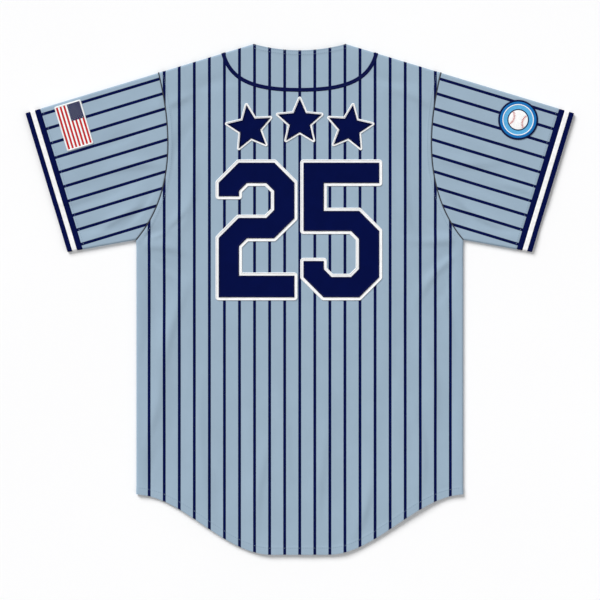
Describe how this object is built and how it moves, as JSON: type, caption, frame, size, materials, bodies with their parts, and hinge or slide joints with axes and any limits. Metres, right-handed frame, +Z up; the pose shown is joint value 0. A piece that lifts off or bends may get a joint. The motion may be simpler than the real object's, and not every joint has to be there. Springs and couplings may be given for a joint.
{
  "type": "baseball jersey",
  "caption": "Short-sleeved button-front baseball jersey laid flat with its back up: pinstriped cloth, striped knit sleeve ends, curved piping below the back neck and a sewn-on number.",
  "frame": {"origin": "under the middle of the laid garment, on the surface that it rests on", "axes": "+X across the garment from the wearer's left sleeve to the right one, +Y from the hem to the neck, +Z up out of the garment's back"},
  "size_m": [0.8778, 0.8173, 0.0081],
  "materials": {
    "cloth": "double-knit polyester, woven look, soft matt, with printed navy pinstripes",
    "navy_knit": "ribbed knit band, matt",
    "white_knit": "ribbed knit band, matt",
    "piping": "flat woven braid, slight sheen",
    "white_twill": "polyester twill, satin",
    "navy_twill": "polyester twill, satin",
    "embroidery": "satin-stitch embroidery with an overlocked edge",
    "button": "polished four-hole button"
  },
  "bodies": {
    "root": {"back": "cloth", "front_left": "cloth", "front_right": "cloth", "sleeve_left": "cloth", "sleeve_right": "cloth", "cuff_left_edge_navy": "navy_knit", "cuff_left_white": "white_knit", "cuff_left_inner_navy": "navy_knit", "cuff_right_edge_navy": "navy_knit", "cuff_right_white": "white_knit", "cuff_right_inner_navy": "navy_knit", "neck_piping": "piping", "numeral_2_white": "white_twill", "numeral_2_navy": "navy_twill", "numeral_5_white": "white_twill", "numeral_5_navy": "navy_twill", "star_1_white": "white_twill", "star_1_navy": "navy_twill", "star_2_white": "white_twill", "star_2_navy": "navy_twill", "star_3_white": "white_twill", "star_3_navy": "navy_twill", "flag_patch": "embroidery", "sleeve_badge": "embroidery", "button_1": "button", "button_2": "button", "button_3": "button", "button_4": "button", "button_5": "button", "button_6": "button", "button_7": "button"}
  },
  "joints": []
}
